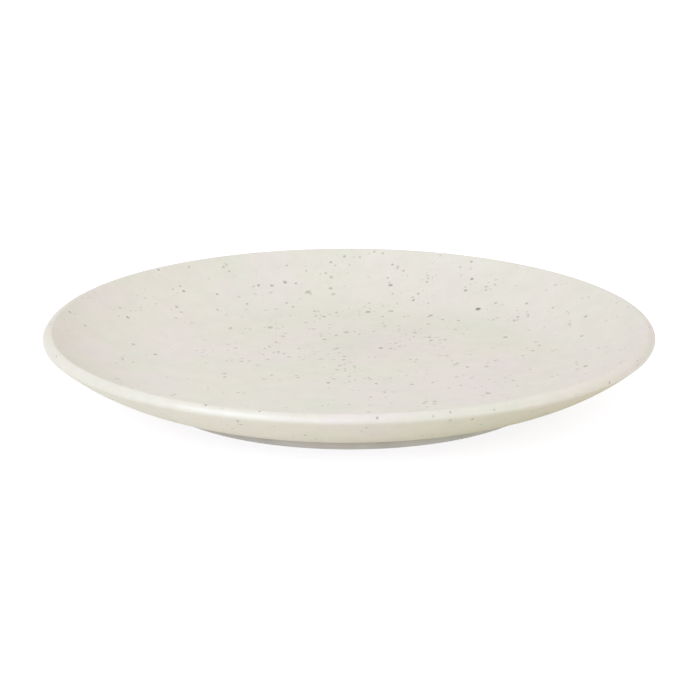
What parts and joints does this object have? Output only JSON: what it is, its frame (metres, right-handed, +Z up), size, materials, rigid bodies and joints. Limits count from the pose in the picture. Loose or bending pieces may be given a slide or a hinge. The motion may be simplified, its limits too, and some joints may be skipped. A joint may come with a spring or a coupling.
{
  "type": "coupe dinner plate",
  "caption": "Round coupe dinner plate of glazed stoneware: a shallow dish whose face runs in one curve from the well to a rounded lip, on a low bare foot ring.",
  "frame": {"origin": "centre of the foot ring's rim, on the table under the middle of the plate", "axes": "+Z up along the plate's axis of turning, out of the face; the plate is round, so +X and +Y are any two directions across it"},
  "size_m": [0.26, 0.26, 0.0285],
  "materials": {
    "stoneware": "matte",
    "cream_glaze": "satin",
    "foot_well_glaze": "satin"
  },
  "bodies": {
    "root": {"stoneware_body": "stoneware", "glaze_coat": "cream_glaze", "foot_well_glaze": "foot_well_glaze"}
  },
  "joints": []
}
